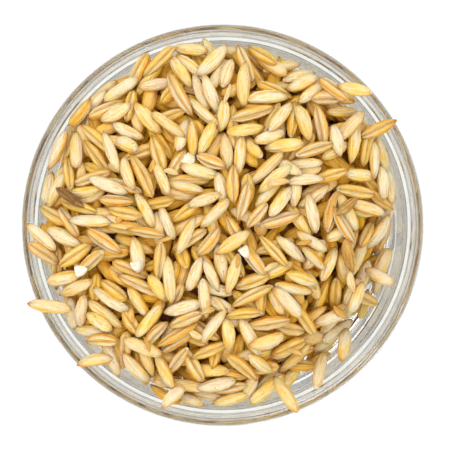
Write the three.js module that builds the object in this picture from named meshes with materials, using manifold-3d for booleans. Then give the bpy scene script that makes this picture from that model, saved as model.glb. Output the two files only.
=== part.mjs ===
// A small clear glass bowl, heaped with hulless oats.
//
// Millimetres, +Z up. The origin is on the table, at the middle of the bowl's foot ring.
// +X is the right of the bowl seen from above and +Y is its far side.
// The bowl is one turned piece of glass. The oats are one heap: a core of the heap's form with whole
// grains fused on, over the top, round the side behind the glass, and out over the rim.

import * as THREE from "three";
import { mergeVertices } from "three/addons/utils/BufferGeometryUtils.js";
import Module from "manifold-3d";

const { degToRad, lerp } = THREE.MathUtils;
const wasm = await Module();
wasm.setup();

// ---------------------------------------------------------------- driving dimensions

const bowl = {
  rimRadius: 40.5, // outside of the lip
  height: 40,
  lipRadius: 0.9, // the lip is a half-round bead, twice this thick
  // Radius and height, inside and outside, of the body's top, of the foot of the rim band over it, past
  // a small stacking step, and of the band's bend up to the lip.
  innerRim: [[36.95, 33.95], [37.15, 34.25], [38.4, 37.45]],
  outerRim: [[38.55, 33.75], [39.55, 34.1], [40.0, 36.55]],
  footOuter: 22,
  footInner: 18.8,
  footRecess: 1.2, // the underside is raised by this inside the foot ring
  footEdge: 0.5, // rounding where the foot ring meets the table
  bodyFootRadius: 22.8, // where the body springs from the foot
  bodyFootHeight: 1.8,
  floorRadius: 15.5, // flat part of the bowl's inner floor
  floorHeight: 4.6,
  bodySweep: degToRad(76), // how far the body turns from level to upright
};

const heap = {
  wallGap: 0.35, // air between grains and glass
  coreInset: 1.5, // the core stays this far inside the glass, and grains fill the difference
  wallLevel: 35.2, // mean height of the core at the glass
  rise: 9.2, // height of the dome's top over that
  shoulder: 3.1, // 2 is a plain dome, and more is flatter on top and steeper near the glass
  lean: 2.5, // the heap stands this much higher on its left and lower on its right
  leanDirection: degToRad(150),
  radius: 36.2,
};

// At the lower right the grains have slid, down to a plane that slopes to the glass and leaves it bare.
// from and height: distance from the axis at which it starts, and its height there.
const slide = { direction: degToRad(-33), from: 19, height: 41.8, slope: Math.tan(degToRad(49)) };

// A grain of naked oats: a blunt spindle, wider than it is thick.
const grain = { length: 8.1, width: 2.75, thickness: 2.2, lengthSpread: 0.85, widthSpread: 0.22 };

// Grains over the top. stride: the steps in which places along the spiral are handed out.
const topGrains = {
  count: 150,
  stride: 89,
  reach: 35.6,
  sink: 0.4,
  lift: 1.3,
  tilt: degToRad(12),
  roll: 0.5,
  tries: 12,
};
// Grains against the glass, in rows. drift and sway: how far each may stray along its row and up or down.
const sideGrains = {
  rows: 3,
  lowest: 14,
  highest: 31,
  spacing: 18,
  drift: 0.15,
  sway: 1.2,
  turn: degToRad(65),
};
// A grain that meets the glass is moved towards the axis by these steps, so many times at most.
const shift = { step: 0.3, most: 12 };

// The grains that lie out on the lip. at: bearing of the outer tip round the bowl, in degrees from +X
// towards +Y. reach: distance of that tip from the axis. skew: turn of the grain from straight out.
const rimGrains = [
  { at: 201.8, reach: 42.4, skew: -30.3, length: 8.9 },
  { at: 30.9, reach: 40.9, skew: -5.9, length: 7.8 },
  { at: 41.3, reach: 40.1, skew: -54.1, length: 7.4 },
  { at: 291.9, reach: 40.4, skew: 12.5, length: 8.3 },
  { at: 223.3, reach: 40.3, skew: -33.9, length: 7.4 },
  { at: 179.4, reach: 39.4, skew: -41.9, length: 8.1 },
  { at: 185.2, reach: 39.1, skew: -40.5, length: 7.4 },
];
// How steeply they may lie, in degrees, how finely they are lowered, and how far they bite into the heap.
const rimDip = { least: 4, step: 2, most: 24, lift: 0.1, bite: 0.6 };
// The grains piled under each: how far in along it, how high over the core each lies, and how it is turned.
const rimPile = { share: 0.88, farthest: 35.6, lowest: 0.5, rise: 1.1, layers: 6, turn: degToRad(70) };

const bowlSides = 50;
const bodySteps = 7;
const lipSteps = 4;
const heapSides = 24;
const heapRings = 4;
const smallestDetail = 0.1; // finer detail than this is dropped from the heap
const seed = 20417;

// ---------------------------------------------------------------- small helpers

const goldenAngle = Math.PI * (3 - Math.sqrt(5));

// The same row of random numbers from 0 to 1 each time.
function randomRow(start) {
  let state = start >>> 0;
  return () => {
    state = (state + 0x6d2b79f5) >>> 0;
    let t = Math.imul(state ^ (state >>> 15), 1 | state);
    t = (t + Math.imul(t ^ (t >>> 7), 61 | t)) ^ t;
    return ((t ^ (t >>> 14)) >>> 0) / 4294967296;
  };
}

const random = randomRow(seed);
const spread = (amount) => (random() * 2 - 1) * amount;
const up = new THREE.Vector3(0, 0, 1);
const towardsAxis = (place) => new THREE.Vector3(-place.x, -place.y, 0).normalize();

// A closed geometry as a solid that can be joined and cut.
function solidOf(geometry) {
  const bare = new THREE.BufferGeometry()
    .setAttribute("position", geometry.getAttribute("position"))
    .setIndex(geometry.index);
  const merged = mergeVertices(bare, 1e-4);
  return new wasm.Manifold(
    new wasm.Mesh({
      numProp: 3,
      vertProperties: new Float32Array(merged.attributes.position.array),
      triVerts: new Uint32Array(merged.index.array),
    }),
  );
}

function geometryOf(solid) {
  const mesh = solid.getMesh();
  const geometry = new THREE.BufferGeometry();
  geometry.setAttribute("position", new THREE.BufferAttribute(mesh.vertProperties, 3));
  geometry.setIndex(new THREE.BufferAttribute(mesh.triVerts, 1));
  const flat = geometry.toNonIndexed();
  flat.computeVertexNormals();
  return flat;
}

// A profile of [radius, height] points, turned round +Z.
function turned(profile, sides) {
  const points = profile.map(([radius, height]) => new THREE.Vector2(radius, height));
  return new THREE.LatheGeometry(points, sides).rotateX(Math.PI / 2);
}

function arcPoints(centreRadius, centreHeight, radius, from, to, steps) {
  return Array.from({ length: steps + 1 }, (_, i) => {
    const angle = degToRad(lerp(from, to, i / steps));
    return [centreRadius + radius * Math.cos(angle), centreHeight + radius * Math.sin(angle)];
  });
}

// ---------------------------------------------------------------- the bowl

// The body's curve is part of an ellipse. It leaves the lower point level and sweeps up to the upper
// point, with its points where it has turned by equal angles.
function bodyCurve([lowRadius, lowHeight], [highRadius, highHeight], steps) {
  const across = (highRadius - lowRadius) / Math.sin(bowl.bodySweep);
  const rise = (highHeight - lowHeight) / (1 - Math.cos(bowl.bodySweep));
  const wholeTurn = Math.atan((rise / across) * Math.tan(bowl.bodySweep));
  return Array.from({ length: steps + 1 }, (_, i) => {
    const angle = Math.atan((across / rise) * Math.tan((wholeTurn * i) / steps));
    return [lowRadius + across * Math.sin(angle), lowHeight + rise * (1 - Math.cos(angle))];
  });
}

// The inner face from the middle of the floor up to the foot of the lip, moved in by gap.
function innerProfile(gap, steps) {
  const [bodyTop, ...band] = bowl.innerRim.map(([radius, height]) => [radius - gap, height]);
  const floorEdge = [bowl.floorRadius, bowl.floorHeight + gap];
  return [[0, bowl.floorHeight + gap], ...bodyCurve(floorEdge, bodyTop, steps), ...band];
}

// The whole section, from the middle of the underside round by the lip to the middle of the floor.
// With a gap, the inner face and the lip stand proud by it.
function bowlProfile(gap = 0) {
  const lipCentre = bowl.rimRadius - bowl.lipRadius;
  const [bodyTop, ...band] = bowl.outerRim;
  const outer = [
    [0, bowl.footRecess],
    [bowl.footInner - bowl.footRecess, bowl.footRecess],
    [bowl.footInner, 0],
    [bowl.footOuter - bowl.footEdge, 0],
    [bowl.footOuter, bowl.footEdge],
    ...bodyCurve([bowl.bodyFootRadius, bowl.bodyFootHeight], bodyTop, bodySteps),
    ...band,
  ];
  const lip = arcPoints(lipCentre, bowl.height - bowl.lipRadius, bowl.lipRadius + gap, 0, 180, lipSteps);
  return [...outer, ...lip, ...innerProfile(gap, bodySteps).reverse()];
}

// Inner radius of the glass at a height, less a gap.
function innerRadiusAt(height, gap = 0) {
  const profile = [...innerProfile(gap, 24), [bowl.rimRadius - 2 * bowl.lipRadius - gap, bowl.height]];
  const above = profile.findIndex(([, z]) => z > height);
  if (above < 1) return above === 0 ? 0 : profile.at(-1)[0];
  const [lowRadius, lowHeight] = profile[above - 1];
  const [highRadius, highHeight] = profile[above];
  return lerp(lowRadius, highRadius, (height - lowHeight) / (highHeight - lowHeight));
}

const glassWithGap = solidOf(turned(bowlProfile(heap.wallGap), bowlSides));

// ---------------------------------------------------------------- the heap's form

const leanAxis = new THREE.Vector2(Math.cos(heap.leanDirection), Math.sin(heap.leanDirection));

// A low dome that leans to the upper left.
function domeTop(x, y) {
  const share = Math.min(1, Math.hypot(x, y) / heap.radius);
  const lean = (heap.lean * (x * leanAxis.x + y * leanAxis.y)) / heap.radius;
  return heap.wallLevel + heap.rise * (1 - share ** heap.shoulder) + lean;
}

const slideOutward = new THREE.Vector3(Math.cos(slide.direction), Math.sin(slide.direction), 0);
const slideTop = (x, y) => slide.height - slide.slope * (x * slideOutward.x + y * slideOutward.y - slide.from);

// Height of the core's top over a point.
const heapTop = (x, y) => Math.min(domeTop(x, y), slideTop(x, y));

function heapSlope(x, y) {
  const step = 0.5;
  return new THREE.Vector3(
    (heapTop(x - step, y) - heapTop(x + step, y)) / (2 * step),
    (heapTop(x, y - step) - heapTop(x, y + step)) / (2 * step),
    1,
  ).normalize();
}

// The core fills the bowl up to the heap's top, a grain's half-thickness or more clear of the glass.
function heapCore() {
  const edgeRadius = innerRadiusAt(heap.wallLevel + heap.lean, heap.coreInset);
  const sideTop = heap.wallLevel - 2 * heap.lean;
  const side = innerProfile(heap.coreInset, bodySteps - 1).filter(([, z]) => z < sideTop);
  const rings = Array.from({ length: heapRings + 1 }, (_, i) => edgeRadius * (1 - i / heapRings));
  const top = rings.map((radius) => [radius, heap.wallLevel]);
  const core = turned([...side, ...top], heapSides);
  const at = core.getAttribute("position");
  const point = new THREE.Vector3();
  for (let i = 0; i < at.count; i += 1) {
    point.fromBufferAttribute(at, i);
    if (point.z < (sideTop + heap.wallLevel) / 2) continue;
    const level = domeTop(point.x, point.y);
    point.setZ(0).clampLength(0, innerRadiusAt(level, heap.coreInset));
    at.setXYZ(i, point.x, point.y, level);
  }
  const downward = slideOutward.clone().multiplyScalar(-slide.slope).setZ(-1);
  const offset = -(slide.height + slide.slope * slide.from) / downward.length();
  return solidOf(core).trimByPlane(downward.normalize().toArray(), offset);
}

// ---------------------------------------------------------------- the grains

// A blunt spindle along +X, flat side down: six sides, two rings and two tips.
function grainSolid(length, width, thickness) {
  const half = length / 2;
  const girth = [
    [0, -half],
    [1, -0.5 * half],
    [0.88, 0.6 * half],
    [0, half],
  ];
  const sides = 6;
  const shape = turned(girth, sides).rotateY(Math.PI / 2);
  return solidOf(shape.scale(1, width / 2, thickness / 2 / Math.cos(Math.PI / sides)));
}

function randomGrainSize() {
  const length = grain.length + spread(grain.lengthSpread);
  const width = grain.width + spread(grain.widthSpread);
  return { length, width, thickness: (width * grain.thickness) / grain.width };
}

// Stands a solid on a place, its length along one direction and its back towards another.
function placed(solid, place, along, back) {
  const x = along.clone().normalize();
  const y = back.clone().cross(x).normalize();
  const z = x.clone().cross(y);
  return solid.transform(new THREE.Matrix4().makeBasis(x, y, z).setPosition(place).toArray());
}

const isClear = (solid) => glassWithGap.intersect(solid).isEmpty();

// A grain moved clear of the glass, or null if that fails.
function movedClear(make, place, inward) {
  for (let i = 0; i <= shift.most; i += 1) {
    const solid = make(place.clone().addScaledVector(inward, i * shift.step));
    if (isClear(solid)) return solid;
  }
  return null;
}

// The middle of a grain and of its two halves, seen from above.
function linePoints(x, y, heading, length) {
  const along = new THREE.Vector2(Math.cos(heading), Math.sin(heading));
  return [-length / 3, 0, length / 3].map((share) => new THREE.Vector2(x, y).addScaledVector(along, share));
}

// Of several random headings, the one that keeps a grain clearest of those already laid.
function clearestHeading(x, y, length, laid) {
  const near = laid.filter((point) => Math.hypot(point.x - x, point.y - y) < 2 * grain.length);
  const clearance = (point) => Math.min(...near.map((other) => other.distanceTo(point)));
  const room = (heading) => Math.min(...linePoints(x, y, heading, length).map(clearance));
  const headings = Array.from({ length: topGrains.tries }, () => random() * 2 * Math.PI);
  return headings.reduce((best, heading) => (room(heading) > room(best) ? heading : best));
}

// Grains over the top, spread evenly by a sunflower spiral. The longest are laid first.
function grainsOnTop() {
  const { count, stride, reach, sink, lift, tilt, roll } = topGrains;
  const sizes = Array.from({ length: count }, randomGrainSize).sort((a, b) => b.length - a.length);
  const laid = [];
  return sizes.map((size, i) => {
    const turn = (i * stride) % count;
    const radius = reach * Math.sqrt((turn + 0.5) / count);
    const bearing = turn * goldenAngle;
    const x = radius * Math.cos(bearing);
    const y = radius * Math.sin(bearing);
    const heading = clearestHeading(x, y, size.length, laid);
    laid.push(...linePoints(x, y, heading, size.length));
    const slope = heapSlope(x, y);
    const along = new THREE.Vector3(Math.cos(heading), Math.sin(heading), 0)
      .projectOnPlane(slope)
      .normalize()
      .addScaledVector(slope, Math.tan(spread(tilt)));
    const back = slope.clone().add(new THREE.Vector3(spread(roll), spread(roll), 0));
    const place = new THREE.Vector3(x, y, heapTop(x, y) + lerp(sink, lift, random()));
    const body = grainSolid(size.length, size.width, size.thickness);
    return movedClear((point) => placed(body, point, along, back), place, towardsAxis(place));
  });
}

// Grains that lie against the glass, in staggered rows up the side.
function grainsAtTheSide() {
  const solids = [];
  for (let row = 0; row < sideGrains.rows; row += 1) {
    const height = lerp(sideGrains.lowest, sideGrains.highest, row / (sideGrains.rows - 1));
    const radius = innerRadiusAt(height);
    const count = Math.round((2 * Math.PI * radius) / sideGrains.spacing);
    for (let i = 0; i < count; i += 1) {
      const size = randomGrainSize();
      const bearing = ((i + (row % 2) / 2 + spread(sideGrains.drift)) / count) * 2 * Math.PI;
      const rim = new THREE.Vector3(Math.cos(bearing), Math.sin(bearing), 0);
      const z = height + spread(sideGrains.sway);
      const steepness = (innerRadiusAt(z + 1) - innerRadiusAt(z - 1)) / 2;
      const outward = rim.clone().setZ(-steepness).normalize();
      const round = new THREE.Vector3(-rim.y, rim.x, 0);
      const upTheWall = new THREE.Vector3().crossVectors(outward, round);
      const turn = spread(sideGrains.turn);
      const along = round.multiplyScalar(Math.cos(turn)).addScaledVector(upTheWall, Math.sin(turn));
      const inset = heap.wallGap + size.thickness / 2;
      const place = rim.clone().multiplyScalar(innerRadiusAt(z)).setZ(z).addScaledVector(outward, -inset);
      const body = grainSolid(size.length, size.width, size.thickness);
      solids.push(movedClear((point) => placed(body, point, along, outward), place, outward.negate()));
    }
  }
  return solids;
}

const tipOf = ({ at, reach }) =>
  new THREE.Vector3(Math.cos(degToRad(at)), Math.sin(degToRad(at)), 0).multiplyScalar(reach);
const headingOf = ({ at, skew }) => degToRad(at + skew);

// A grain laid under the inner end of a grain on the lip, crossing the one below it.
function pileGrain(rimGrain, layer) {
  const inward = new THREE.Vector3(-Math.cos(headingOf(rimGrain)), -Math.sin(headingOf(rimGrain)), 0);
  const place = tipOf(rimGrain).addScaledVector(inward, rimPile.share * rimGrain.length);
  place.clampLength(0, rimPile.farthest);
  place.z = heapTop(place.x, place.y) + rimPile.lowest + layer * rimPile.rise;
  const across = inward.clone().applyAxisAngle(up, (layer + 1) * rimPile.turn);
  const body = grainSolid(grain.length, grain.width, grain.thickness);
  return movedClear((point) => placed(body, point, across, up), place, towardsAxis(place));
}

// A grain out on the lip. It rests on the glass, all but touching, with its inner end tipped down until
// it meets the heap. Null if it can't reach.
function rimGrainMeeting(heaped, rimGrain) {
  const { length } = rimGrain;
  const body = grainSolid(length, grain.width, grain.thickness);
  const heading = headingOf(rimGrain);
  for (let dip = rimDip.least; dip <= rimDip.most; dip += rimDip.step) {
    const slope = Math.tan(degToRad(dip));
    const along = new THREE.Vector3(Math.cos(heading), Math.sin(heading), slope).normalize();
    const place = tipOf(rimGrain).addScaledVector(along, -length / 2).setZ(bowl.height);
    const lying = () => placed(body, place, along, up);
    while (!isClear(lying())) place.z += rimDip.lift;
    if (heaped.intersect(lying()).volume() > rimDip.bite) return lying();
  }
  return null;
}

// The heap with a grain out on the lip. Grains are piled under it until it has something to lie on.
function withRimGrain(heaped, rimGrain) {
  for (let layer = 0; layer < rimPile.layers; layer += 1) {
    const lying = rimGrainMeeting(heaped, rimGrain);
    if (lying) return heaped.add(lying);
    heaped = heaped.add(pileGrain(rimGrain, layer));
  }
  return heaped;
}

function oatsSolid() {
  const grains = [...grainsOnTop(), ...grainsAtTheSide()].filter(Boolean);
  const heaped = wasm.Manifold.union([heapCore(), ...grains]);
  const whole = rimGrains.reduce(withRimGrain, heaped).simplify(smallestDetail);
  const [largest] = whole.decompose().sort((a, b) => b.volume() - a.volume());
  return largest;
}

// ---------------------------------------------------------------- the object

const glass = new THREE.MeshStandardMaterial({
  color: 0xe3ebe7,
  roughness: 0.05,
  metalness: 0,
  transparent: true,
  opacity: 0.35,
});
const oats = new THREE.MeshStandardMaterial({ color: 0xe0b873, roughness: 0.62, metalness: 0 });

const bowlMesh = new THREE.Mesh(turned(bowlProfile(), bowlSides), glass);
bowlMesh.name = "bowl";

const oatsMesh = new THREE.Mesh(geometryOf(oatsSolid()), oats);
oatsMesh.name = "oats";

const bowlOfOats = new THREE.Group();
bowlOfOats.add(bowlMesh, oatsMesh);

export default bowlOfOats;
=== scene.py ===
# A small clear glass bowl, heaped with hulless oats.
# Sizes are in millimetres, and mm turns them into Blender's metres.
# The bowl stands on its foot ring at the origin. +X is the photograph's right and +Y its top.

import math

import bmesh
import bpy
import numpy as np
from mathutils import Matrix, Vector


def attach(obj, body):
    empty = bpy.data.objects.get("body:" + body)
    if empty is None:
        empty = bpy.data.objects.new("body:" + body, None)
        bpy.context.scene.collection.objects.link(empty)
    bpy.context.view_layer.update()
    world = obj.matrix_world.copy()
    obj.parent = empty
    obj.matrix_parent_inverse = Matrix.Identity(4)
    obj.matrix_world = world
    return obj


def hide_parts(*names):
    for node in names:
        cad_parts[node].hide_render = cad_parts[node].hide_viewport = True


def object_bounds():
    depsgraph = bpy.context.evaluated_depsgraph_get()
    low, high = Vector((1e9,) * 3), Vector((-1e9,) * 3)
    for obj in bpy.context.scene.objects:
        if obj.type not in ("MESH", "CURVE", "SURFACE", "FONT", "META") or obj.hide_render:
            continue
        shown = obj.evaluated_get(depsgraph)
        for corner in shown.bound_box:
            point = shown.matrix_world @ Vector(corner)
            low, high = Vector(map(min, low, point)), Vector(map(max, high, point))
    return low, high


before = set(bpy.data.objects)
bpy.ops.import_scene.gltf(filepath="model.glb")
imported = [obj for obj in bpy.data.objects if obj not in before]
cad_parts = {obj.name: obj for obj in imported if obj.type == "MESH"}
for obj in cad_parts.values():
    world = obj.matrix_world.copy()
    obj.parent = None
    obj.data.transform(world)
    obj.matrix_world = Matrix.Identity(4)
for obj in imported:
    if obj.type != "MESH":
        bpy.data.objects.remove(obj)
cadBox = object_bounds()

mm = 0.001
scene = bpy.context.scene
random = np.random.default_rng(20417)  # every random draw comes from here, in a fixed order


# Small helpers

def linkMesh(name, mesh):
    piece = bpy.data.objects.new(name, mesh)
    scene.collection.objects.link(piece)
    return piece


def smoothStep(x, low, high):
    share = np.clip((np.asarray(x, float) - low) / (high - low), 0, 1)
    return share * share * (3 - 2 * share)


# Makes one node, sets its options, and sets or joins its inputs.
def makeNode(tree, kind, values=None, **options):
    node = tree.nodes.new(kind)
    for key, value in options.items():
        setattr(node, key, value)
    for socket, value in (values or {}).items():
        if isinstance(value, bpy.types.NodeSocket):
            tree.links.new(value, node.inputs[socket])
        else:
            node.inputs[socket].default_value = value
    return node


def newMaterial(name):
    material = bpy.data.materials.new(name)
    material.use_nodes = True
    material.node_tree.nodes.clear()
    return material, material.node_tree


def maths(tree, operation, a, b=0.5, clamp=False):
    return makeNode(tree, "ShaderNodeMath", {0: a, 1: b}, operation=operation, use_clamp=clamp).outputs[0]


def ramp(tree, value, stops, ease="LINEAR"):
    node = makeNode(tree, "ShaderNodeValToRGB", {"Fac": value})
    node.color_ramp.interpolation = ease
    elements = node.color_ramp.elements
    while len(elements) < len(stops):
        elements.new(0.5)
    for element, (place, colour) in zip(elements, stops):
        element.position = place
        element.color = colour
    return node.outputs["Color"]


def grey(level):
    return (level, level, level, 1)


# A share from 0 to 1, taken from a row of (place, share) stops.
def curve(tree, value, *stops):
    return ramp(tree, value, [(place, grey(share)) for place, share in stops], "EASE")


def mixColour(tree, share, a, b):
    return makeNode(tree, "ShaderNodeMix", {"Factor": share, 6: a, 7: b}, data_type="RGBA").outputs[2]


def noise(tree, place, scale, detail=2.0, roughness=0.5):
    values = {"Vector": place, "Scale": scale, "Detail": detail, "Roughness": roughness}
    return makeNode(tree, "ShaderNodeTexNoise", values).outputs["Fac"]


def srgb(red, green, blue):
    def channel(c):
        c /= 255
        return c / 12.92 if c <= 0.04045 else ((c + 0.055) / 1.055) ** 2.4
    return (channel(red), channel(green), channel(blue), 1)


def times(tree, a, b):
    return maths(tree, "MULTIPLY", a, b)


def plus(tree, a, b, clamp=False):
    return maths(tree, "ADD", a, b, clamp)


# Three colours, for the low, middle and high values of a noise.
def threeTones(tree, value, low, middle, high):
    return ramp(tree, value, [(0.3, srgb(*low)), (0.5, srgb(*middle)), (0.7, srgb(*high))])


def bumped(tree, height, distance, strength=1.0):
    values = {"Height": height, "Strength": strength, "Distance": distance}
    return makeNode(tree, "ShaderNodeBump", values).outputs[0]


# Joins a plain shader of these values to the material's output.
def finishWith(tree, values):
    shader = makeNode(tree, "ShaderNodeBsdfPrincipled", values).outputs[0]
    makeNode(tree, "ShaderNodeOutputMaterial", {"Surface": shader})


# The bowl

bowl = {
    "rimRadius": 40.5,
    "height": 40.0,
    "lipRadius": 0.9,
    # radius and height of the body's top, the stacking step over it, and the bend of the rim band
    "innerRim": ((36.95, 33.95), (37.15, 34.25), (38.4, 37.45)),
    "outerRim": ((38.55, 33.75), (39.55, 34.1), (40.0, 36.55)),
    "footOuter": 22.0,
    "footInner": 18.8,
    "footRecess": 1.2,
    "footEdge": 0.5,
    "bodyFootRadius": 22.8,
    "bodyFootHeight": 1.8,
    "floorRadius": 15.5,
    "floorHeight": 4.6,
    "bodySweep": math.radians(76),
    "sides": 192,
    "bodySteps": 36,
    "lipSteps": 16,
    "cornerSteps": 6,
    "innerCorner": 0.16,  # rounding of the inner step, and next of the outer one
    "outerCorner": 0.34,
    "hollowCorner": 0.4,  # rounding inside the foot ring, and next under it
    "toeCorner": 0.3,
    "floorShares": (0, 0.5, 0.9),  # rings on the level floor
}


# Part of an ellipse that leaves the lower point level and sweeps up to the upper one.
def bodyCurve(low, high, steps):
    across = (high[0] - low[0]) / math.sin(bowl["bodySweep"])
    upward = (high[1] - low[1]) / (1 - math.cos(bowl["bodySweep"]))
    wholeTurn = math.atan(upward / across * math.tan(bowl["bodySweep"]))
    angles = [math.atan(across / upward * math.tan(wholeTurn * i / steps)) for i in range(steps + 1)]
    return [(low[0] + across * math.sin(a), low[1] + upward * (1 - math.cos(a))) for a in angles]


def arcPoints(centre, radius, start, end, steps):
    angles = [math.radians(start + (end - start) * i / steps) for i in range(steps + 1)]
    return [(centre[0] + radius * math.cos(a), centre[1] + radius * math.sin(a)) for a in angles]


# The corner between two straight runs, rounded to a radius.
def roundedCorner(before, corner, after, radius):
    corner = Vector(corner)
    back = (Vector(before) - corner).normalized()
    onward = (Vector(after) - corner).normalized()
    half = back.angle(onward) / 2
    reach = radius / math.tan(half)
    start, end = corner + back * reach, corner + onward * reach
    middle = corner + (back + onward).normalized() * (radius / math.sin(half))
    points = []
    for i in range(bowl["cornerSteps"] + 1):
        chord = start.lerp(end, i / bowl["cornerSteps"]) - middle
        points.append(tuple(middle + chord.normalized() * radius))
    return points


# The rim's side from the body up to the lip, with its corners rounded.
def rimSide(below, corners, lipFoot, radius):
    run = [below, *corners, lipFoot]
    rounded = [roundedCorner(*three, radius) for three in zip(run, run[1:], run[2:])]
    return [point for corner in rounded for point in corner]


# The inner face, from the middle of the floor up to the lip.
def innerSection(steps):
    lipFoot = (bowl["rimRadius"] - 2 * bowl["lipRadius"], bowl["height"] - bowl["lipRadius"])
    body = bodyCurve((bowl["floorRadius"], bowl["floorHeight"]), bowl["innerRim"][0], steps)
    return [
        *[(bowl["floorRadius"] * share, bowl["floorHeight"]) for share in bowl["floorShares"]],
        *body[:-1],
        *rimSide(body[-2], bowl["innerRim"], lipFoot, bowl["innerCorner"]),
    ]


def bowlSection():
    recess, edge = bowl["footRecess"], bowl["footEdge"]
    toe = (bowl["footInner"], 0)
    hollow = (bowl["footInner"] - recess, recess)
    lipOuter = (bowl["rimRadius"], bowl["height"] - bowl["lipRadius"])
    lipCentre = (bowl["rimRadius"] - bowl["lipRadius"], bowl["height"] - bowl["lipRadius"])
    bodyFoot = (bowl["bodyFootRadius"], bowl["bodyFootHeight"])
    body = bodyCurve(bodyFoot, bowl["outerRim"][0], bowl["bodySteps"])
    return [
        (0, recess),
        (hollow[0] / 2, recess),
        *roundedCorner((0, recess), hollow, toe, bowl["hollowCorner"]),
        *roundedCorner(hollow, toe, (bowl["footOuter"], 0), bowl["toeCorner"]),
        *arcPoints((bowl["footOuter"] - edge, edge), edge, -90, 0, bowl["cornerSteps"]),
        *body[:-1],
        *rimSide(body[-2], bowl["outerRim"], lipOuter, bowl["outerCorner"]),
        *arcPoints(lipCentre, bowl["lipRadius"], 0, 180, bowl["lipSteps"]),
        *innerSection(bowl["bodySteps"])[::-1],
    ]


# Turns a section about Z. Its ends lie on the axis, and each becomes one point.
def turnedMesh(name, section, sides):
    shape = bmesh.new()
    turns = [2 * math.pi * i / sides for i in range(sides)]
    rings = []
    for radius, height in section:
        if radius < 1e-6:
            rings.append([shape.verts.new((0, 0, height * mm))] * sides)
        else:
            rings.append([
                shape.verts.new((radius * math.cos(turn) * mm, radius * math.sin(turn) * mm, height * mm))
                for turn in turns
            ])
    for lower, upper in zip(rings, rings[1:]):
        for i in range(sides):
            j = (i + 1) % sides
            shape.faces.new(dict.fromkeys((lower[i], lower[j], upper[j], upper[i])))
    return finishedMesh(name, shape)


def finishedMesh(name, shape, smooth=True):
    bmesh.ops.recalc_face_normals(shape, faces=shape.faces)
    mesh = bpy.data.meshes.new(name)
    shape.to_mesh(mesh)
    shape.free()
    mesh.polygons.foreach_set("use_smooth", [smooth] * len(mesh.polygons))
    return mesh


# Clear glass with the faint ripple of a pressed bowl. It throws no dark shadow.
def glassMaterial():
    material, tree = newMaterial("clearGlass")
    place = makeNode(tree, "ShaderNodeTexCoord").outputs["Object"]
    ripple = noise(tree, place, 70.0)
    glass = makeNode(tree, "ShaderNodeBsdfPrincipled", {
        # The faint grey tint is partly painted shade: it darkens the rings seen in the glass, for the
        # darker surroundings the glass would show.
        "Base Color": srgb(232, 236, 234),
        "Roughness": 0.0,
        "IOR": 1.5,
        "Transmission Weight": 1.0,
        "Normal": bumped(tree, ripple, 0.0006, 0.05),
    }).outputs[0]
    clear = makeNode(tree, "ShaderNodeBsdfTransparent", {"Color": (0.96, 0.975, 0.97, 1)}).outputs[0]
    shadow = makeNode(tree, "ShaderNodeLightPath").outputs["Is Shadow Ray"]
    both = makeNode(tree, "ShaderNodeMixShader", {0: shadow, 1: glass, 2: clear}).outputs[0]
    makeNode(tree, "ShaderNodeOutputMaterial", {"Surface": both})
    return material


def makeBowl():
    piece = linkMesh("glassBowl", turnedMesh("glassBowl", bowlSection(), bowl["sides"]))
    piece.data.materials.append(glassMaterial())
    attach(piece, "root")
    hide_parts("bowl")
    print("bowl:", len(piece.data.polygons), "faces")


# The heap's form

heap = {
    "wallLevel": 35.2,  # mean height of the grains at the glass
    "rise": 9.1,
    "shoulder": 3.1,  # 2 is a plain dome, and more is flatter on top
    "lean": 2.5,  # it stands this much higher at the upper left, and lower at the lower right
    "leanDirection": math.radians(150),
    "radius": 36.2,
    "skin": 1.2,  # grains lie with their middles up to this far over that form
    "wallGap": 0.3,
    "shell": 8.0,  # grains deeper in than this are hidden, and the core stands for them
    "floorShell": 5.6,  # and so are those higher than this over the bowl's floor
    "gapShadeFrom": (2, 5),  # this far in from the glass, grains begin to take the painted gap shade
}


# At the lower right the grains have slid, down to a plane that slopes to the glass and leaves it bare.
# from and height: distance from the axis at which it starts, and its height there.
slide = {
    "direction": math.radians(-33),
    "from": 19,
    "height": 41.8,
    "slope": math.tan(math.radians(49)),
    "sunkMore": 1.8,  # a form sunk under the heap lies this many times as deep under the slide
}


# Height of the heap's form over a place, or of a form that lies sunk under it.
def heapTop(x, y, sunk=0.0):
    share = np.minimum(1, np.hypot(x, y) / heap["radius"])
    lean = (x * math.cos(heap["leanDirection"]) + y * math.sin(heap["leanDirection"])) / heap["radius"]
    dome = heap["wallLevel"] + heap["rise"] * (1 - share ** heap["shoulder"]) + heap["lean"] * lean
    outward = x * math.cos(slide["direction"]) + y * math.sin(slide["direction"]) - slide["from"]
    plane = slide["height"] - slide["slope"] * outward
    return np.minimum(dome - sunk, plane - slide["sunkMore"] * sunk)


# Where the grains lie
# The heap is laid grain by grain. Each is tried at several places, comes to rest at each on what lies
# there, and stays where it lies lowest for the heap's form.

laying = {
    "cell": 0.25,  # the ground is a grid of heights
    "reach": 43.5,
    "tries": 34,
    "lastTries": 260,
    "misses": 110,
    "farthest": 36.6,
    "steepest": math.tan(math.radians(30)),
    "lipSteepest": math.tan(math.radians(52)),  # those at the lip lean from it down to the heap
    "sink": 0.16,  # grains settle this far into their neighbours
    "wobble": 0.14,  # how unevenly they lie, as a slope
    "margin": 0.4,  # they stay this far under the solids' highest point
    "lift": 0.15,  # they lie this far over the glass
    "sectionSteps": 24,  # steps of the glass's body here, and next of its lip
    "lipSteps": 8,
    "alongPlaces": np.linspace(-0.92, 0.92, 15),  # where a grain may touch, in half lengths
    "acrossPlaces": np.linspace(-0.86, 0.86, 5),  # and in half widths
    "raisedEnd": 0.45,  # its raised end lies this share of its length from the middle
    "rollSpread": 0.35,  # how far grains are rolled from back up or crease up
    "creaseUp": 0.4,  # share of them with the crease up
}

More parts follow.
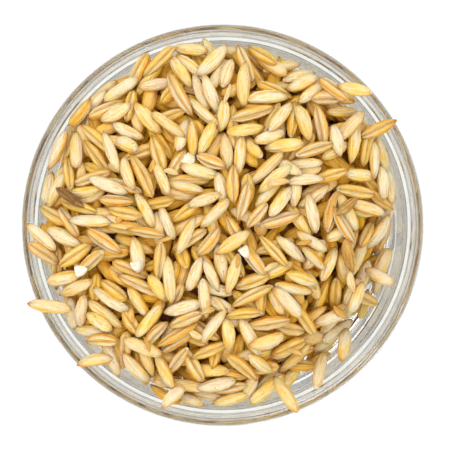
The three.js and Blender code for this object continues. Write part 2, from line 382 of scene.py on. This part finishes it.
grain = {
    "length": 8.4,
    "lengthSpread": 0.85,
    "lengthLimits": (-2.2, 1.9),  # in spreads, from the mean
    "width": 2.7,
    "widthSpread": 0.22,
    "widthLimits": (-2, 2),
    "thickness": 0.8,  # of the width
    "germPower": 0.72,  # how steeply the girth grows from the germ's tip, and next from the brush's
    "brushPower": 0.62,
}

# Grains seen out on the lip, close to it and on the slide, and one that props another up. at: bearing
# of the outer tip round the bowl, in degrees from +X towards +Y. reach: distance of that tip from the
# axis. skew: turn of the grain from straight out.
lipGrains = [
    {"at": 201.8, "reach": 42.2, "skew": -30.3, "length": 8.9},
    {"at": 30.9, "reach": 40.9, "skew": -5.9, "length": 7.8},
    {"at": 57.0, "reach": 35.6, "skew": 84.0, "length": 7.6},
    {"at": 41.3, "reach": 40.1, "skew": -54.1, "length": 7.4},
    {"at": 291.9, "reach": 40.4, "skew": 12.5, "length": 8.3},
    {"at": 223.3, "reach": 40.3, "skew": -33.9, "length": 7.4},
    {"at": 179.4, "reach": 39.4, "skew": -41.9, "length": 8.1},
    {"at": 185.2, "reach": 39.1, "skew": -40.5, "length": 7.4},
    {"at": 251.2, "reach": 38.7, "skew": -28.8, "length": 6.3},
    {"at": 299.7, "reach": 38.1, "skew": -44.5, "length": 7.5},
    {"at": 311.0, "reach": 36.7, "skew": -54.0, "length": 6.8},
    {"at": 332.9, "reach": 35.8, "skew": 2.0, "length": 7.0},
    {"at": 325.4, "reach": 31.2, "skew": 52.6, "length": 7.6},
    {"at": 326.8, "reach": 29.8, "skew": -86.8, "length": 6.5},
    {"at": 325.1, "reach": 31.6, "skew": -77.0, "length": 7.2},
    {"at": 341.0, "reach": 36.9, "skew": -9.1, "length": 6.6},
]

# Odd ones that show on top, each at its place.
oddGrains = [
    {"kind": "husked", "x": -30.4, "y": 5.5, "heading": -35, "length": 7.0, "width": 1.9, "tone": 0.2},
    {"kind": "husked", "x": 25.4, "y": -6.2, "heading": -76, "length": 7.2, "width": 2.7, "tone": 0.85},
    {"kind": "husked", "x": 24.9, "y": 3.7, "heading": 40, "length": 5.6, "width": 2.1, "tone": 0.65},
    {"kind": "broken", "x": -7.0, "y": 12.3, "heading": 70, "length": 5.2, "width": 3.0, "tone": 0.9},
    {"kind": "broken", "x": -28.9, "y": -9.2, "heading": 15, "length": 3.9, "width": 2.3, "tone": 0.7},
    {"kind": "broken", "x": -17.4, "y": -7.6, "heading": 110, "length": 3.7, "width": 2.2, "tone": 0.8},
    {"kind": "broken", "x": 4.1, "y": -4.8, "heading": -60, "length": 4.2, "width": 2.1, "tone": 0.8},
]


# Flakes of husk that lie on top.
flakes = {"count": 18, "reach": 30.0, "length": (3.0, 5.5), "width": (0.9, 1.8), "thickness": 0.3}


# Half the girth along a grain, from 0 at a tip to 1. The germ end is pointed, and the brush end blunt.
def girthAt(place, germ=1.9, brush=2.4):
    share = np.abs(np.asarray(place, float))
    germHalf = (1 - share ** germ) ** grain["germPower"]
    brushHalf = (1 - share ** brush) ** grain["brushPower"]
    return np.where(np.asarray(place) < 0, germHalf, brushHalf)


class Ground:
    def __init__(self):
        cells = int(2 * laying["reach"] / laying["cell"]) + 1
        self.axis = np.linspace(-laying["reach"], laying["reach"], cells)
        x, y = np.meshgrid(self.axis, self.axis, indexing="ij")
        lipCentre = (bowl["rimRadius"] - bowl["lipRadius"], bowl["height"] - bowl["lipRadius"])
        lip = arcPoints(lipCentre, bowl["lipRadius"], 180, 0, laying["lipSteps"])
        outside = (bowl["rimRadius"] + heap["wallGap"], 0)
        radii, levels = np.vstack([innerSection(laying["sectionSteps"]), lip, outside]).T
        self.height = np.interp(np.hypot(x, y) + heap["wallGap"], radii, levels + laying["lift"])

    def at(self, x, y):
        def cell(v):
            number = np.rint((v + laying["reach"]) / laying["cell"]).astype(int)
            return np.clip(number, 0, len(self.axis) - 1)
        return self.height[cell(x), cell(y)]

    # Raises the ground to a grain's back.
    def lay(self, rest):
        x, y, z, heading, slope, roll, length, width, thickness = rest
        reach = length / 2 + 2 * laying["cell"]
        def cellAt(v):
            return int((v + laying["reach"]) / laying["cell"])
        low = [max(0, cellAt(v - reach)) for v in (x, y)]
        high = [min(len(self.axis), cellAt(v + reach) + 2) for v in (x, y)]
        gx, gy = np.meshgrid(self.axis[low[0]:high[0]] - x, self.axis[low[1]:high[1]] - y, indexing="ij")
        along = gx * math.cos(heading) + gy * math.sin(heading)
        across = gy * math.cos(heading) - gx * math.sin(heading)
        girth = girthAt(np.clip(along / (length / 2), -1, 1))
        inside = 1 - (across / (width / 2 * np.maximum(girth, 1e-3))) ** 2
        back = thickness / 2 * girth * np.sqrt(np.maximum(inside, 0))
        top = np.where(inside > 0, z + slope * along + roll * across + back, -np.inf)
        part = self.height[low[0]:high[0], low[1]:high[1]]
        np.maximum(part, top, out=part)


# The slope of the highest line that lies over a row of heights on both sides of the middle.
def restingSlope(places, heights, steepest):
    left, right = places < 0, places > 0
    u, v = places[left], places[right]
    a, b = heights[:, left][:, :, None], heights[:, right][:, None, :]
    span = v[None, :] - u[:, None]
    middle = (a * v[None, :] - b * u[:, None]) / span
    best = middle.reshape(len(heights), -1).argmax(1)
    slope = ((b - a) / span).reshape(len(heights), -1)[np.arange(len(heights)), best]
    return np.clip(slope, -steepest, steepest)


# How a grain comes to rest at several places: the height of its middle, its slope and its roll.
def comeToRest(ground, x, y, heading, size, steepest=laying["steepest"]):
    length, width, thickness = size
    u = laying["alongPlaces"] * length / 2
    v = laying["acrossPlaces"] * width / 2
    girth = girthAt(u / (length / 2))
    across = v[None, :] * girth[:, None]
    belly = thickness / 2 * girth[:, None] * np.sqrt(1 - (v / (width / 2)) ** 2)[None, :]
    c, s = np.cos(heading)[:, None, None], np.sin(heading)[:, None, None]
    px = x[:, None, None] + u[None, :, None] * c - across[None] * s
    py = y[:, None, None] + u[None, :, None] * s + across[None] * c
    needed = ground.at(px, py) + belly[None]
    slope = restingSlope(u, needed.max(2), steepest)
    level = needed - slope[:, None, None] * u[None, :, None]
    roll = restingSlope(v, level.max(1), laying["steepest"])
    z = (level - roll[:, None, None] * across[None]).max((1, 2)) - laying["sink"]
    return z, slope, roll


def randomSize():
    length = grain["length"] + grain["lengthSpread"] * np.clip(random.normal(), *grain["lengthLimits"])
    width = grain["width"] + grain["widthSpread"] * np.clip(random.normal(), *grain["widthLimits"])
    return length, width, width * grain["thickness"]


# Height of a grain's highest point.
def topOf(z, slope, size):
    return z + (np.abs(slope) + laying["wobble"]) * size[0] * laying["raisedEnd"] + size[2] / 2


ceiling = cadBox[1][2] / mm - laying["margin"]


# Lays grains until none fits under the heap's form.
def fillHeap(ground):
    rests = []
    misses = 0
    while misses < laying["misses"]:
        size = randomSize()
        count = laying["lastTries"] if misses else laying["tries"]
        radius = laying["farthest"] * np.sqrt(random.random(count))
        bearing = random.random(count) * 2 * math.pi
        heading = random.random(count) * 2 * math.pi
        x, y = radius * np.cos(bearing), radius * np.sin(bearing)
        z, slope, roll = comeToRest(ground, x, y, heading, size)
        over = z - heapTop(x, y) - heap["skin"]
        over[topOf(z, slope, size) > ceiling] = np.inf
        best = over.argmin()
        if over[best] > 0:
            misses += 1
            continue
        misses = 0
        slope, roll = (turn[best] + laying["wobble"] * random.normal() for turn in (slope, roll))
        rest = (x[best], y[best], z[best], heading[best], slope, roll, *size)
        ground.lay(rest)
        rests.append(rest)
    return np.array(rests)


# One grain at a given place. Its length is as seen from above, and it is as much longer as it leans.
def layOne(ground, x, y, heading, size, steepest=laying["steepest"]):
    place = [np.array([v]) for v in (x, y, heading)]
    z, slope, roll = comeToRest(ground, *place, size, steepest)
    height = z[0] - max(0, topOf(z[0], slope[0], size) - ceiling)
    rest = (x, y, height, heading, slope[0], roll[0], *size)
    ground.lay(rest)
    return (*rest[:6], size[0] * math.hypot(1, slope[0]), *size[1:])


def layHeap():
    ground = Ground()
    rests = fillHeap(ground)
    kept = rests[isShown(rests)]
    print("heap:", len(rests), "grains laid,", len(kept), "of them shown")
    lip, odd = [], {}
    for item in lipGrains:
        at = math.radians(item["at"])
        heading = math.radians(item["at"] + item["skew"])
        length = item["length"]
        x = item["reach"] * math.cos(at) - length / 2 * math.cos(heading)
        y = item["reach"] * math.sin(at) - length / 2 * math.sin(heading)
        size = (length, grain["width"], grain["width"] * grain["thickness"])
        lip.append(layOne(ground, x, y, heading, size, laying["lipSteepest"]))
    for item in oddGrains:
        size = (item["length"], item["width"], item["width"] * grain["thickness"])
        rest = layOne(ground, item["x"], item["y"], math.radians(item["heading"]), size)
        odd.setdefault(item["kind"], []).append((rest, item["tone"]))
    for _ in range(flakes["count"]):
        reach, bearing = flakes["reach"] * math.sqrt(random.random()), random.random() * 2 * math.pi
        size = (random.uniform(*flakes["length"]), random.uniform(*flakes["width"]), flakes["thickness"])
        place = (reach * math.cos(bearing), reach * math.sin(bearing), random.random() * math.pi)
        odd.setdefault("flake", []).append((layOne(ground, *place, size), random.random()))
    return np.vstack([kept, lip]), odd


# Whether a grain lies near the heap's top, the glass wall or the bowl's floor.
def isShown(rests):
    x, y, z = rests[:, 0], rests[:, 1], rests[:, 2]
    inner = np.array(innerSection(laying["sectionSteps"]))
    wall = np.interp(z, inner[:, 1], inner[:, 0])
    nearWall = np.hypot(x, y) > wall - heap["shell"]
    nearTop = z > heapTop(x, y) - heap["shell"]
    return nearWall | nearTop | (z < bowl["floorHeight"] + heap["floorShell"])


# The grains' own form

# A form is a closed spindle of a few rings, one long, wide and thick. germ and brush: how blunt its two
# ends are. bend: how far the ends curl to the crease. bow: to one side. crease: depth of the groove.
# cut: where a broken one ends. ridge: height of the ribs on a husk.
grainForms = {
    "plump": {"germ": 2.1, "brush": 2.8, "bend": 0.1, "crease": 0.28},
    "slim": {"germ": 1.7, "brush": 2.2, "bend": 0.16, "crease": 0.3, "bow": 0.08},
    "curved": {"germ": 1.9, "brush": 2.5, "bend": 0.42, "crease": 0.28, "bow": -0.14},
    "straight": {"germ": 2.5, "brush": 3.8, "bend": 0.04, "crease": 0.34},
    "lopsided": {"germ": 1.9, "brush": 3.0, "bend": 0.18, "crease": 0.3, "bow": 0.26},
    "flake": {"germ": 2.2, "brush": 1.4, "bend": 0.7, "bow": 0.5, "crease": 0.1},
    "husked": {"germ": 1.7, "brush": 2.2, "bend": 0.1, "crease": 0.2, "ridge": 0.12},
    "broken": {"germ": 2.2, "brush": 3.0, "crease": 0.3, "cut": 0.15},
}

# How common the forms are of which there are many.
shares = {"plump": 0.28, "slim": 0.18, "curved": 0.15, "straight": 0.19, "lopsided": 0.13}

ringAngles = [-90, -68, -38, 0, 45, 90, 135, 180, 218, 248]  # from the crease round, in degrees
stations = [-1, -0.92, -0.7, -0.35, 0.1, 0.55, 0.86, 1]  # from the germ end to the brush end
besideCrease = (1, len(ringAngles) - 1)  # the two angles next to the crease

grainSection = {
    "fade": (0.02, 0.3),  # the crease fades out between these shares of the half length from a tip
    "brow": 0.1,  # how much the crease's edges stand up
    "scar": 0.88,  # the germ's flat scar, how near its end it begins, and between which angles it lies
    "scarPlace": -0.5,
    "scarAngles": (50, 130),
    "uneven": 0.035,
    "square": 2.5,  # 2 is round, and more is flatter at the back and front
}


def grainMesh(name, germ, brush, crease, bend=0.0, bow=0.0, cut=None, ridge=0.0):
    places = [t for t in stations if cut is None or t < cut] + ([cut, cut] if cut else [])
    around = len(ringAngles)
    scarLow, scarHigh = grainSection["scarAngles"]
    square = grainSection["square"]
    shape = bmesh.new()
    uv = shape.loops.layers.uv.new("grainMap")
    rings = []
    for index, t in enumerate(places):
        side, drop = bow * t * t / 2, -bend * t * t / 2
        if index in (0, len(places) - 1):
            rings.append([shape.verts.new((t / 2, side, drop))] * around)
            continue
        girth = float(girthAt(t, germ, brush)) / 2
        ring = []
        fade = float(smoothStep(1 - abs(t), *grainSection["fade"]))
        for number, angle in enumerate(ringAngles):
            if number == 0:
                depth = 1 - crease * fade
            else:
                brow = grainSection["brow"] * fade * (number in besideCrease)
                depth = 1 + brow + ridge * (number % 2 - 0.5)
            if t < grainSection["scarPlace"] and scarLow < angle < scarHigh:
                depth *= grainSection["scar"]
            depth *= 1 + grainSection["uneven"] * random.normal()
            c, s = math.cos(math.radians(angle)), math.sin(math.radians(angle))
            depth /= (abs(c) ** square + abs(s) ** square) ** (1 / square)
            y, z = c * girth * depth, s * girth * depth
            ring.append(shape.verts.new((t / 2, y + side, z + drop)))
        rings.append(ring)
    for i in range(len(places) - 1):
        for j in range(around):
            k = (j + 1) % around
            corners = {}
            for ring, turn, step in ((i, j, j), (i + 1, j, j), (i + 1, k, j + 1), (i, k, j + 1)):
                corners.setdefault(rings[ring][turn], ((places[ring] + 1) / 2, step / around))
            face = shape.faces.new(corners)
            for loop in face.loops:
                loop[uv].uv = corners[loop.vert]
    return finishedMesh(name, shape, smooth=cut is None)


# What a grain's finishes share: its map, its own shade, and streaks that run along it.
def grainPattern(tree):
    place = makeNode(tree, "ShaderNodeUVMap", uv_map="grainMap").outputs[0]
    split = makeNode(tree, "ShaderNodeSeparateXYZ", {0: place}).outputs
    tone = makeNode(tree, "ShaderNodeAttribute", attribute_name="tone").outputs["Fac"]
    own = times(tree, tone, 83.0)
    def stretched(along, across, shift):
        values = {
            "X": times(tree, split["X"], along),
            "Y": times(tree, split["Y"], across),
            "Z": plus(tree, own, shift),
        }
        return makeNode(tree, "ShaderNodeCombineXYZ", values).outputs[0]
    return split["X"], split["Y"], tone, stretched


def oatMaterial():
    material, tree = newMaterial("oatCoat")
    along, across, tone, stretched = grainPattern(tree)
    streak = noise(tree, stretched(1.8, 17.0, 0.0), 1.0, 2.5, 0.6)
    cloud = noise(tree, stretched(2.6, 4.0, 31.0), 1.0, 2.0)
    # 0 on the back, 0.5 in the crease
    fromBack = maths(tree, "ABSOLUTE", maths(tree, "SUBTRACT", across))
    # Painted highlight: the middle of the back and the lobes beside the crease are made paler, as where
    # light falls on them.
    pale = times(tree, curve(tree, fromBack, (0.0, 1), (0.17, 0), (0.34, 0), (0.42, 0.5)), 0.35)
    shade = plus(tree, times(tree, tone, 0.55), 0.24)
    for part, strength in ((streak, 1.6), (cloud, 1.5)):
        shade = plus(tree, shade, times(tree, maths(tree, "SUBTRACT", part), strength))
    shade = plus(tree, shade, pale, True)
    colour = ramp(tree, shade, [
        (0.0, srgb(242, 196, 84)),
        (0.25, srgb(244, 206, 110)),
        (0.6, srgb(239, 212, 145)),
        (1.0, srgb(235, 217, 182)),
    ])
    # some grains are browner as a whole
    own = makeNode(tree, "ShaderNodeTexWhiteNoise", {"W": tone}, noise_dimensions="1D").outputs["Value"]
    browner = curve(tree, own, (0.8, 0), (0.9, 0.5))
    lines = curve(tree, streak, (0.36, 0.5), (0.46, 0))
    # Painted shade: the sides of each grain, which show at its edges, are coloured a deeper golden orange
    # for the shading and bounced light there.
    paintedSideShade = curve(tree, fromBack, (0.14, 0), (0.19, 0.3), (0.25, 0.95), (0.31, 0.5), (0.37, 0))
    crease = curve(tree, fromBack, (0.4, 0), (0.45, 0.35), (0.48, 0.8), (0.5, 1))
    crease = times(tree, crease, curve(tree, cloud, (0.3, 0.5), (0.6, 0.95)))
    tips = [(0.0, 1), (0.04, 0.7), (0.1, 0.2), (0.2, 0), (0.88, 0), (0.96, 0.35), (1.0, 0.7)]
    fuzz = times(tree, curve(tree, along, (0.93, 0), (0.97, 0.9)), curve(tree, own, (0.4, 1), (0.5, 0)))
    speck = curve(tree, noise(tree, stretched(15.0, 22.0, 57.0), 1.0, 1.0), (0.69, 0), (0.76, 0.6))
    # Painted shade: grains lying deep in the gaps between the upper ones are coloured a saturated golden,
    # standing for the light bounced between the grains.
    paintedGapShade = makeNode(tree, "ShaderNodeAttribute", attribute_name="paintedGapShade").outputs["Fac"]
    for share, tint in (
        (browner, srgb(230, 194, 128)),
        (lines, srgb(224, 168, 66)),
        (paintedSideShade, srgb(232, 162, 40)),
        (crease, srgb(206, 140, 26)),
        (curve(tree, along, *tips), srgb(204, 124, 16)),
        (fuzz, srgb(248, 234, 204)),
        (speck, srgb(160, 98, 34)),
        (curve(tree, paintedGapShade, (0.16, 0), (0.55, 0.85)), srgb(250, 186, 44)),
    ):
        colour = mixColour(tree, share, colour, tint)
    finishWith(tree, {
        "Base Color": colour,
        "Roughness": plus(tree, curve(tree, streak, (0.3, 0.4), (0.7, 0.58)), times(tree, crease, 0.3)),
        "Specular IOR Level": 0.12,
        "Subsurface Weight": 0.3,
        "Subsurface Radius": (0.0024, 0.001, 0.0001),
        "Subsurface Scale": 1.0,
        "Normal": bumped(tree, plus(tree, streak, times(tree, cloud, 0.9)), 0.0008),
    })
    return material


# A husk left on: rough and ribbed, from dark brown to golden.
def huskMaterial():
    material, tree = newMaterial("oatHusk")
    *_, tone, stretched = grainPattern(tree)
    fibre = noise(tree, stretched(2.2, 22.0, 0.0), 1.0, 4.0, 0.7)
    patch = noise(tree, stretched(4.0, 8.0, 13.0), 1.0, 3.0, 0.6)
    dark = threeTones(tree, fibre, (66, 38, 12), (128, 86, 38), (196, 150, 86))
    golden = threeTones(tree, fibre, (170, 108, 34), (214, 160, 70), (236, 200, 120))
    worn = times(tree, curve(tree, patch, (0.5, 0), (0.64, 0.8)), maths(tree, "SUBTRACT", 1.0, tone))
    finishWith(tree, {
        "Base Color": mixColour(tree, worn, mixColour(tree, tone, dark, golden), srgb(74, 42, 16)),
        "Roughness": curve(tree, fibre, (0.3, 0.8), (0.7, 0.55)),
        "Normal": bumped(tree, plus(tree, fibre, patch), 0.0004),
    })
    return material


# A thin flake of husk, pale or brown, and fibrous.
def flakeMaterial():
    material, tree = newMaterial("huskFlake")
    *_, tone, stretched = grainPattern(tree)
    fibre = noise(tree, stretched(2.0, 24.0, 0.0), 1.0, 3.0, 0.6)
    pale = threeTones(tree, fibre, (208, 156, 78), (236, 202, 136), (248, 230, 188))
    brown = threeTones(tree, fibre, (186, 118, 26), (220, 164, 66), (238, 200, 118))
    finishWith(tree, {
        "Base Color": mixColour(tree, curve(tree, tone, (0.55, 0), (0.7, 1)), pale, brown),
        "Roughness": curve(tree, fibre, (0.3, 0.7), (0.7, 0.5)),
        "Normal": bumped(tree, fibre, 0.0003),
    })
    return material


# The floury inside of a broken grain.
def flourMaterial():
    material, tree = newMaterial("oatFlour")
    *_, stretched = grainPattern(tree)
    crumb = noise(tree, stretched(9.0, 12.0, 5.0), 1.0, 4.0, 0.6)
    finishWith(tree, {
        "Base Color": threeTones(tree, crumb, (226, 202, 160), (244, 236, 214), (252, 249, 240)),
        "Roughness": curve(tree, crumb, (0.3, 0.9), (0.7, 0.7)),
        "Normal": bumped(tree, crumb, 0.0004, 0.9),
    })
    return material


# Puts a grain on each point, by the point's own turn and girth.
def scatterTree():
    tree = bpy.data.node_groups.new("scatterGrains", "GeometryNodeTree")
    inputs = {"Geometry": "Geometry", "Grain": "Object", "Size": "Float", "Finish": "Material"}
    for name, kind in inputs.items():
        tree.interface.new_socket(name, in_out="INPUT", socket_type="NodeSocket" + kind)
    tree.interface.new_socket("Geometry", in_out="OUTPUT", socket_type="NodeSocketGeometry")
    given = makeNode(tree, "NodeGroupInput").outputs
    shape = makeNode(tree, "GeometryNodeObjectInfo", {"Object": given["Grain"]}).outputs["Geometry"]
    def named(name):
        kind = "GeometryNodeInputNamedAttribute"
        return makeNode(tree, kind, {"Name": name}, data_type="FLOAT_VECTOR").outputs[0]
    girth = {0: named("girth"), "Scale": given["Size"]}
    size = makeNode(tree, "ShaderNodeVectorMath", girth, operation="SCALE")
    turn = makeNode(tree, "FunctionNodeEulerToRotation", {0: named("turn")}).outputs[0]
    spread = makeNode(tree, "GeometryNodeInstanceOnPoints", {
        "Points": given["Geometry"],
        "Instance": shape,
        "Rotation": turn,
        "Scale": size.outputs[0],
    }).outputs[0]
    real = makeNode(tree, "GeometryNodeRealizeInstances", {"Geometry": spread}).outputs[0]
    dressed = {"Geometry": real, "Material": given["Finish"]}
    finished = makeNode(tree, "GeometryNodeSetMaterial", dressed).outputs[0]
    makeNode(tree, "NodeGroupOutput", {"Geometry": finished})
    return tree


# A grain's turn: along its line, its back up or, for some, its crease up.
def turnOf(rest, creaseUp):
    heading, slope, roll = rest[3:6]
    along = Vector((math.cos(heading), math.sin(heading), slope)).normalized()
    across = Vector((-math.sin(heading), math.cos(heading), roll))
    back = along.cross(across).normalized()
    basis = Matrix((along, back.cross(along), back)).transposed()
    if random.random() < 0.5:
        basis = basis @ Matrix.Rotation(math.pi, 3, "Z")  # germ end the other way
    tip = math.pi * (random.random() < creaseUp) + random.normal() * laying["rollSpread"]
    return tuple((basis @ Matrix.Rotation(tip, 3, "X")).to_euler())


# How far down a gap between the upper grains a grain lies, from 0 to 1, which sets its painted gap shade.
# At the glass none counts as deep.
def paintedGapShadeShare(x, y, z):
    inner = np.array(innerSection(laying["sectionSteps"]))
    fromWall = np.interp(z, inner[:, 1], inner[:, 0]) - math.hypot(x, y)
    down = (heapTop(x, y) + heap["skin"] - z) / heap["shell"]
    return float(np.clip(down, 0, 1) * smoothStep(fromWall, *heap["gapShadeFrom"]))


def scatter(kind, rests, tones, tree, finish, creaseUp=laying["creaseUp"]):
    name = "oats_" + kind
    points = bpy.data.meshes.new(name + "Points")
    points.from_pydata([tuple(np.array(rest[:3]) * mm) for rest in rests], [], [])
    turns = np.ravel([turnOf(rest, creaseUp) for rest in rests])
    girths = np.ravel([np.array(rest[6:9]) * mm for rest in rests])
    points.attributes.new("turn", "FLOAT_VECTOR", "POINT").data.foreach_set("vector", turns)
    points.attributes.new("girth", "FLOAT_VECTOR", "POINT").data.foreach_set("vector", girths)
    paintedGapShade = [paintedGapShadeShare(*rest[:3]) for rest in rests]
    points.attributes.new("tone", "FLOAT", "POINT").data.foreach_set("value", tones)
    points.attributes.new("paintedGapShade", "FLOAT", "POINT").data.foreach_set("value", paintedGapShade)
    holder = linkMesh(name + "Holder", points)
    one = linkMesh(name + "One", grainMesh(name + "One", **grainForms[kind]))
    modifier = holder.modifiers.new("scatter", "NODES")
    modifier.node_group = tree
    inputs = {item.name: item.identifier for item in tree.interface.items_tree if item.in_out == "INPUT"}
    modifier[inputs["Grain"]] = one
    modifier[inputs["Size"]] = 1.0
    modifier[inputs["Finish"]] = finish
    graph = bpy.context.evaluated_depsgraph_get()
    evaluated = holder.evaluated_get(graph)
    made = bpy.data.meshes.new_from_object(evaluated, preserve_all_data_layers=True, depsgraph=graph)
    made.name = name
    bpy.data.objects.remove(holder)
    bpy.data.objects.remove(one)
    piece = linkMesh(name, made)
    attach(piece, "root")
    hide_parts("oats")
    print(name + ":", len(rests), "grains,", len(made.polygons), "faces")


def makeOats():
    kept, odd = layHeap()
    tree = scatterTree()
    coat = oatMaterial()
    limits = np.cumsum(list(shares.values()))
    kindOf = np.searchsorted(limits, random.random(len(kept)) * limits[-1])
    for number, kind in enumerate(shares):
        rests = kept[kindOf == number]
        scatter(kind, rests, random.random(len(rests)), tree, coat)
    finishes = {"husked": huskMaterial(), "broken": flourMaterial(), "flake": flakeMaterial()}
    for kind, finish in finishes.items():
        rests, tones = zip(*odd[kind])
        scatter(kind, rests, tones, tree, finish, creaseUp=0)


# The grains too deep to be told apart, as one mass under the others. Its dark brown is painted shade: the
# grains there lie in the heap's shadow.
core = {
    "inset": 5.0,  # how far inside the glass it ends at its top edge, and next at its foot
    "footInset": 3,
    "floor": 4.5,  # how far over the bowl's floor it starts
    "edge": 6.0,  # how far under the grains' level at the glass its top edge lies
    "depth": 4.2,  # how far under the heap's form its top lies, and next how much deeper at the edge
    "edgeDepth": 1.5,
    "sides": 96,
    "sideSteps": 14,
    "topSteps": 10,
}


def makeCore():
    low = (bowl["floorRadius"] - core["footInset"], bowl["floorHeight"] + core["floor"])
    high = (bowl["innerRim"][0][0] - core["inset"], heap["wallLevel"] - core["edge"])
    side = [(0, low[1]), (low[0] / 2, low[1]), *bodyCurve(low, high, core["sideSteps"])]
    steps = core["topSteps"]
    top = [(high[0] * (1 - i / steps), high[1]) for i in range(1, steps + 1)]
    mesh = turnedMesh("oatsCore", side + top, core["sides"])
    for vertex in mesh.vertices:
        x, y, z = np.array(vertex.co) / mm
        share = min(1, math.hypot(x, y) / high[0])
        level = float(heapTop(x, y, core["depth"] + core["edgeDepth"] * share ** 4))
        onTop = z >= high[1] - 0.01 and share < 0.999
        vertex.co.z = (level if onTop else min(z, level)) * mm
    piece = linkMesh("oatsCore", mesh)
    material, tree = newMaterial("paintedShadeCore")
    place = makeNode(tree, "ShaderNodeTexCoord").outputs["Object"]
    lump = noise(tree, place, 420.0, 3.0, 0.6)
    finishWith(tree, {
        # dark browns as painted shade, for grains that lie in shadow
        "Base Color": threeTones(tree, lump, (60, 26, 2), (120, 66, 10), (176, 108, 26)),
        "Roughness": curve(tree, lump, (0.3, 0.9), (0.7, 0.7)),
        "Normal": bumped(tree, lump, 0.001),
    })
    mesh.materials.append(material)
    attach(piece, "root")
    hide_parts("oats")
    print("core:", len(mesh.polygons), "faces")


# Floor, light and camera

light = {
    "place": (-0.32, 0.46, 1.0),
    "size": 0.55,
    "power": 2.2,
    "sky": 1.46,
    "floorGlow": 0.52,
    "floorSize": 3,
    "floorDrop": 0.0005,  # this far under the bowl's foot, so that the two don't share a plane
}

photo = {
    "pixels": 450,
    "pixel": 0.2015,  # size of a pixel at the rim
    "bowlX": 222.55,  # where the bowl's middle lies in the photograph
    "bowlY": 225.19,
    "lens": 210,
    "sensor": 36.0,
    "clipEnd": 10,
}


def makeFloor():
    bpy.ops.mesh.primitive_plane_add(size=light["floorSize"])
    floor = bpy.context.object
    floor.name = "floor"
    material, tree = newMaterial("paleFloor")
    finishWith(tree, {
        "Base Color": grey(0.46),
        "Roughness": 0.8,
        "Emission Color": grey(1),
        "Emission Strength": light["floorGlow"],
    })
    floor.data.materials.append(material)
    floor.location.z = -light["floorDrop"]


def makeLight():
    data = bpy.data.lights.new("keyLight", "AREA")
    data.shape = "DISK"
    data.size = light["size"]
    data.energy = light["power"]
    lamp = bpy.data.objects.new("keyLight", data)
    lamp.location = light["place"]
    lamp.rotation_euler = (-Vector(light["place"])).to_track_quat("-Z", "Y").to_euler()
    scene.collection.objects.link(lamp)
    world = bpy.data.worlds.new("studio")
    scene.world = world
    world.use_nodes = True
    tree = world.node_tree
    tree.nodes.clear()
    direction = makeNode(tree, "ShaderNodeTexCoord").outputs["Generated"]
    height = makeNode(tree, "ShaderNodeSeparateXYZ", {0: direction}).outputs["Z"]
    colour = curve(tree, height, (0.0, 0.4), (0.1, 0.5), (0.4, 0.85), (0.8, 1.0))
    sky = makeNode(tree, "ShaderNodeBackground", {"Color": colour, "Strength": light["sky"]}).outputs[0]
    makeNode(tree, "ShaderNodeOutputWorld", {"Surface": sky})
    scene.view_settings.view_transform = "Standard"
    scene.cycles.glossy_bounces = 16  # light is turned back many times inside the glass
    scene.cycles.transmission_bounces = 16
    scene.cycles.max_bounces = 24


# Straight overhead, with the bowl where it lies in the photograph.
def makeCamera():
    data = bpy.data.cameras.new("camera")
    data.lens = photo["lens"]
    data.sensor_width = photo["sensor"]
    data.clip_end = photo["clipEnd"]
    width = photo["pixels"] * photo["pixel"] * mm
    distance = width * photo["lens"] / photo["sensor"]
    x = (photo["pixels"] / 2 - photo["bowlX"]) * photo["pixel"] * mm
    y = (photo["bowlY"] - photo["pixels"] / 2) * photo["pixel"] * mm
    camera = bpy.data.objects.new("camera", data)
    camera.location = (x, y, (bowl["height"] - bowl["lipRadius"]) * mm + distance)
    scene.collection.objects.link(camera)
    scene.camera = camera
    print("floor, light and camera set")


makeOats()
makeCore()
makeBowl()
makeFloor()
makeLight()
makeCamera()
